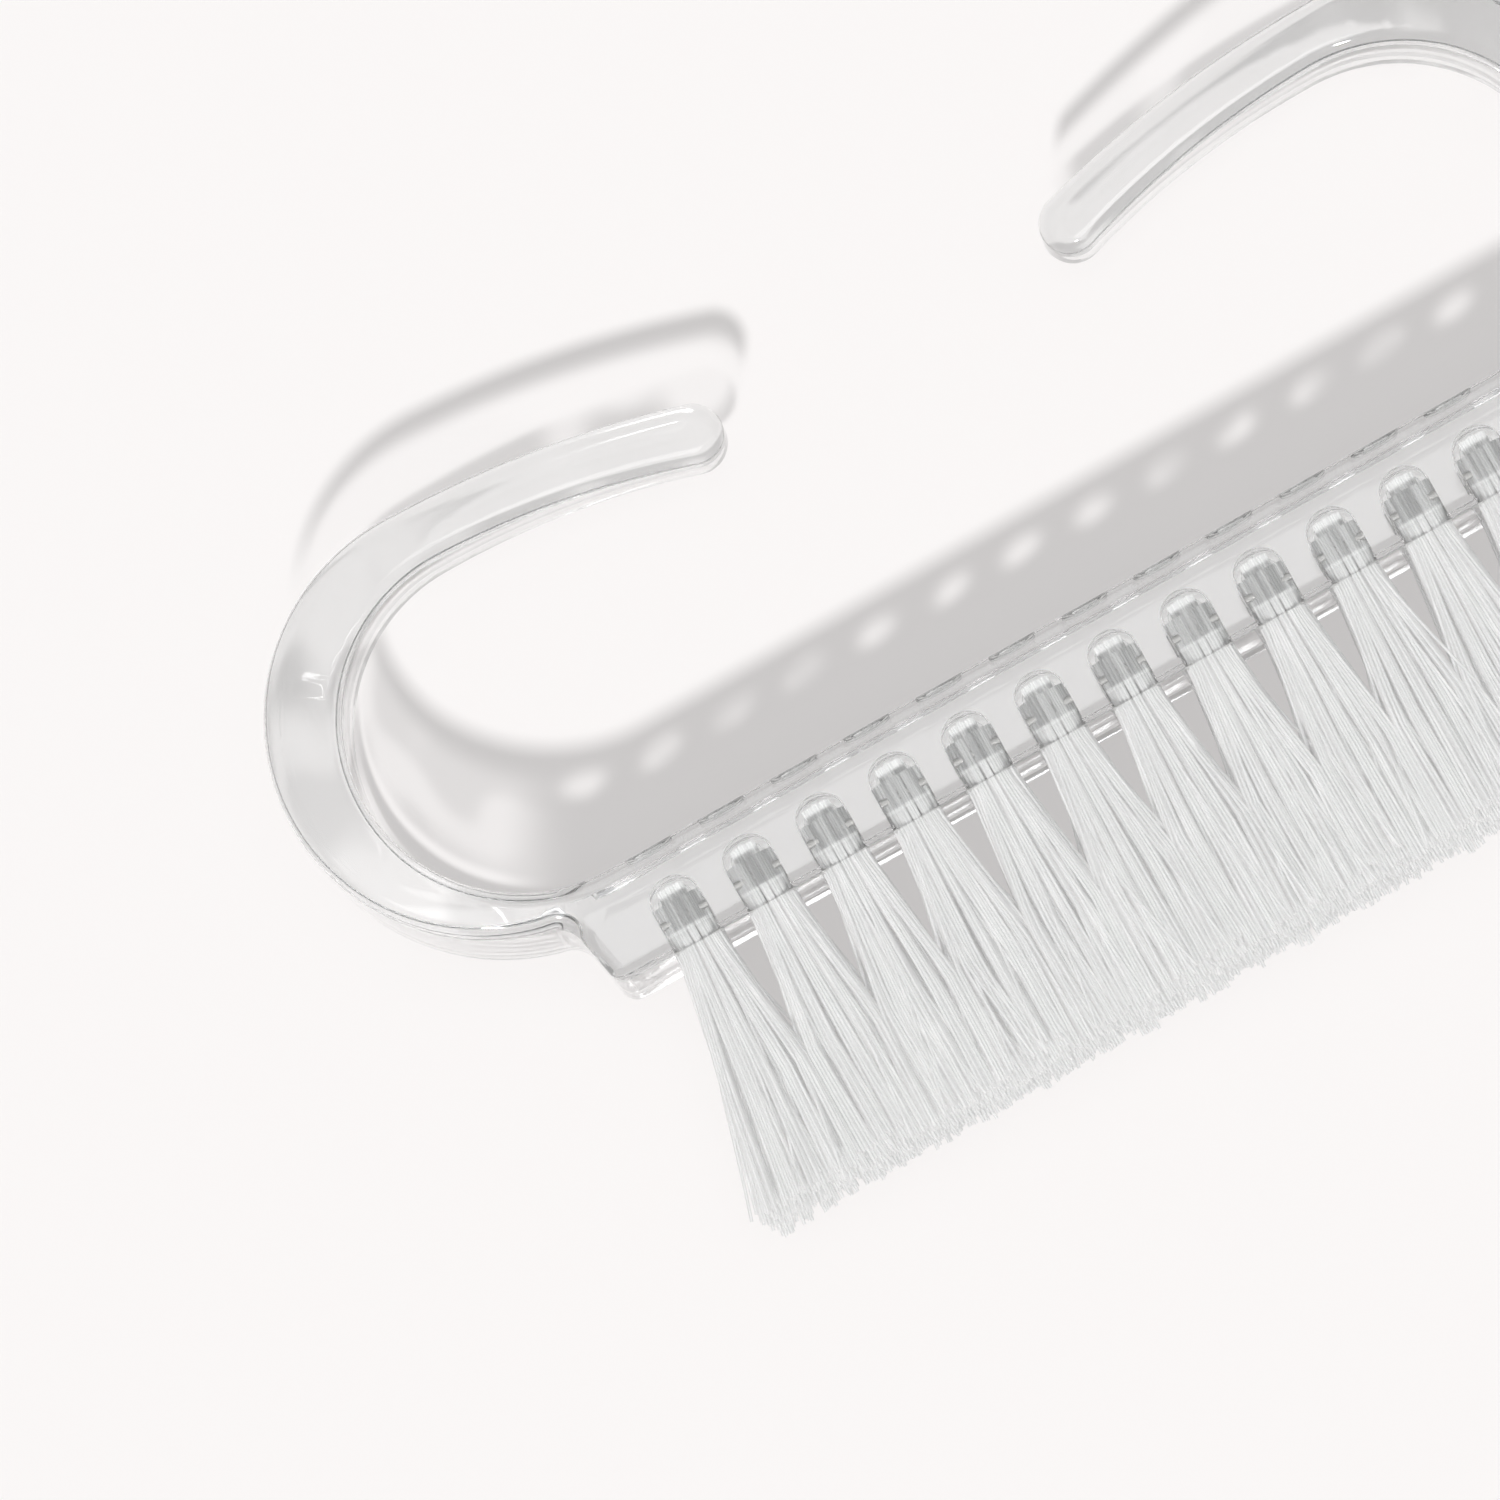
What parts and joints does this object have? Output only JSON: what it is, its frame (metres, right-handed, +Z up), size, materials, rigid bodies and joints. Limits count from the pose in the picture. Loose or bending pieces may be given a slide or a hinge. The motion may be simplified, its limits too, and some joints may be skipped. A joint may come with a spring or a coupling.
{
  "type": "nail brush",
  "caption": "Clear plastic nail brush with an open handle of two curled arms and rows of white nylon tufts in a straight block, shown lying on its side.",
  "frame": {"origin": "centre of the footprint, on the table, with the brush lying on its side", "axes": "+X along the brush, +Y from the bristle tips to the handle, +Z up through its depth"},
  "size_m": [0.067, 0.036, 0.013],
  "materials": {
    "clear_plastic": "clear, moulded, polished",
    "nylon_bristle": "translucent white nylon filament",
    "anchor_metal": "flat drawn wire, dull"
  },
  "bodies": {
    "root": {"body": "clear_plastic", "tuft_row1_01": "nylon_bristle", "tuft_row1_02": "nylon_bristle", "tuft_row1_03": "nylon_bristle", "tuft_row1_04": "nylon_bristle", "tuft_row1_05": "nylon_bristle", "tuft_row1_06": "nylon_bristle", "tuft_row1_07": "nylon_bristle", "tuft_row1_08": "nylon_bristle", "tuft_row1_09": "nylon_bristle", "tuft_row1_10": "nylon_bristle", "tuft_row1_11": "nylon_bristle", "tuft_row1_12": "nylon_bristle", "tuft_row2_01": "nylon_bristle", "tuft_row2_02": "nylon_bristle", "tuft_row2_03": "nylon_bristle", "tuft_row2_04": "nylon_bristle", "tuft_row2_05": "nylon_bristle", "tuft_row2_06": "nylon_bristle", "tuft_row2_07": "nylon_bristle", "tuft_row2_08": "nylon_bristle", "tuft_row2_09": "nylon_bristle", "tuft_row2_10": "nylon_bristle", "tuft_row2_11": "nylon_bristle", "tuft_row2_12": "nylon_bristle", "tuft_row3_01": "nylon_bristle", "tuft_row3_02": "nylon_bristle", "tuft_row3_03": "nylon_bristle", "tuft_row3_04": "nylon_bristle", "tuft_row3_05": "nylon_bristle", "tuft_row3_06": "nylon_bristle", "tuft_row3_07": "nylon_bristle", "tuft_row3_08": "nylon_bristle", "tuft_row3_09": "nylon_bristle", "tuft_row3_10": "nylon_bristle", "tuft_row3_11": "nylon_bristle", "tuft_row3_12": "nylon_bristle", "anchors_row1": "anchor_metal", "anchors_row2": "anchor_metal", "anchors_row3": "anchor_metal"}
  },
  "joints": []
}
